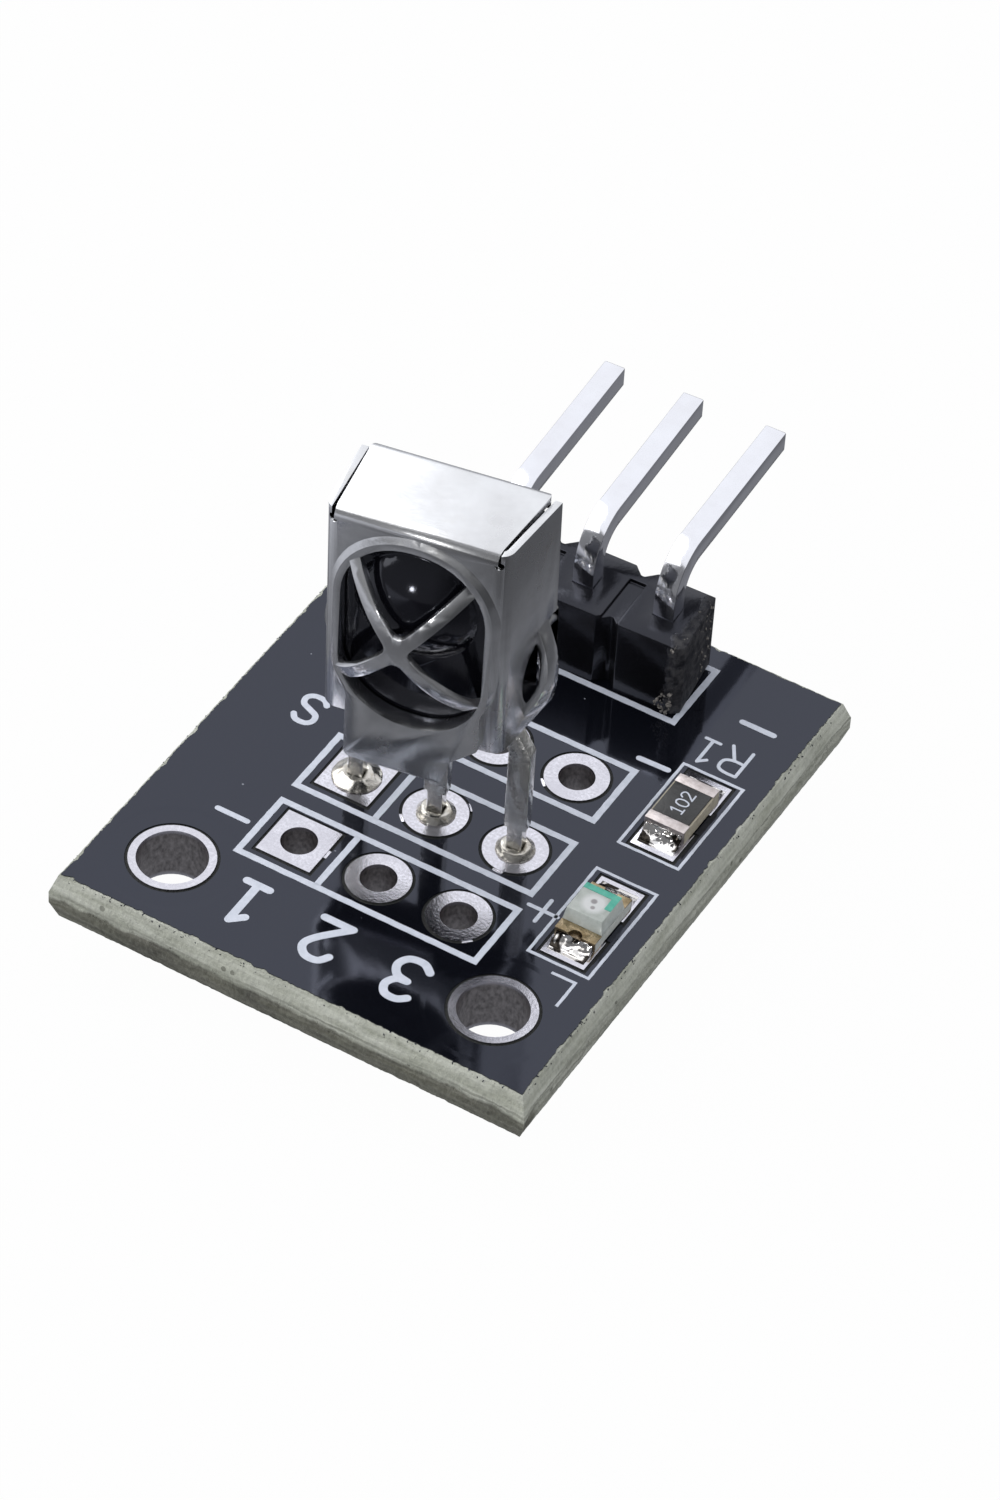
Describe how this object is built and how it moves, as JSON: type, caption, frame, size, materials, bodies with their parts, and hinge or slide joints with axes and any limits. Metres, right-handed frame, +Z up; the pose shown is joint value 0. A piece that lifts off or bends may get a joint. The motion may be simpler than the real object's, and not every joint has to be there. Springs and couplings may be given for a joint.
{
  "type": "infrared receiver module",
  "caption": "Small black circuit board with a shielded infrared receiver on leads, a right-angle pin header, a chip resistor, a chip lamp and mounting holes.",
  "frame": {"origin": "on the board's underside, midway between the two mounting holes", "axes": "+X along the board's near edge, from one mounting hole to the other; +Y towards the pin header, whose pins point that way; +Z up through the board, towards the receiver"},
  "size_m": [0.015, 0.0223, 0.0149],
  "materials": {
    "glass_epoxy": "cut glass-epoxy edge",
    "solder_mask": "glossy black solder mask",
    "white_print": "screen-printed legend ink",
    "tinned_copper": "tinned plating",
    "header_plastic": "black moulded nylon",
    "pin_tin": "bright tin on brass",
    "solder": "bright solder",
    "shield_tin": "tinned sheet steel",
    "black_epoxy": "polished infrared-clear epoxy",
    "lead_tin": "tinned steel lead",
    "alumina": "bare alumina",
    "resistor_coat": "black overcoat",
    "cap_tin": "tinned end cap",
    "led_substrate": "white substrate",
    "led_resin": "clear moulded resin",
    "led_chip": "chip under the resin",
    "green_paint": "green polarity paint",
    "gilt": "dull gilt terminal"
  },
  "bodies": {
    "root": {"board_core": "glass_epoxy", "header_housing": "header_plastic", "header_pin_1": "pin_tin", "header_pin_2": "pin_tin", "header_pin_3": "pin_tin", "header_solder_1": "solder", "header_solder_2": "solder", "header_solder_3": "solder", "led_base": "led_substrate", "led_chip": "led_chip", "led_land_far": "tinned_copper", "led_land_near": "tinned_copper", "led_mark": "green_paint", "led_resin": "led_resin", "led_solder_far": "solder", "led_solder_near": "solder", "led_terminal_far": "gilt", "led_terminal_near": "gilt", "legend_print": "white_print", "mounting_ring_left": "tinned_copper", "mounting_ring_right": "tinned_copper", "pad_a1": "tinned_copper", "pad_a2": "tinned_copper", "pad_a3": "tinned_copper", "pad_b1": "tinned_copper", "pad_b2": "tinned_copper", "pad_b3": "tinned_copper", "pad_c1": "tinned_copper", "pad_c2": "tinned_copper", "pad_c3": "tinned_copper", "pad_h1": "tinned_copper", "pad_h2": "tinned_copper", "pad_h3": "tinned_copper", "receiver_body": "black_epoxy", "receiver_lead_1": "lead_tin", "receiver_lead_2": "lead_tin", "receiver_lead_3": "lead_tin", "receiver_shield": "shield_tin", "receiver_solder_1": "solder", "receiver_solder_2": "solder", "receiver_solder_3": "solder", "resistor_cap_far": "cap_tin", "resistor_cap_near": "cap_tin", "resistor_ceramic": "alumina", "resistor_film": "resistor_coat", "resistor_land_far": "tinned_copper", "resistor_land_near": "tinned_copper", "resistor_solder_far": "solder", "resistor_solder_near": "solder", "solder_mask_bottom": "solder_mask", "solder_mask_top": "solder_mask"}
  },
  "joints": []
}
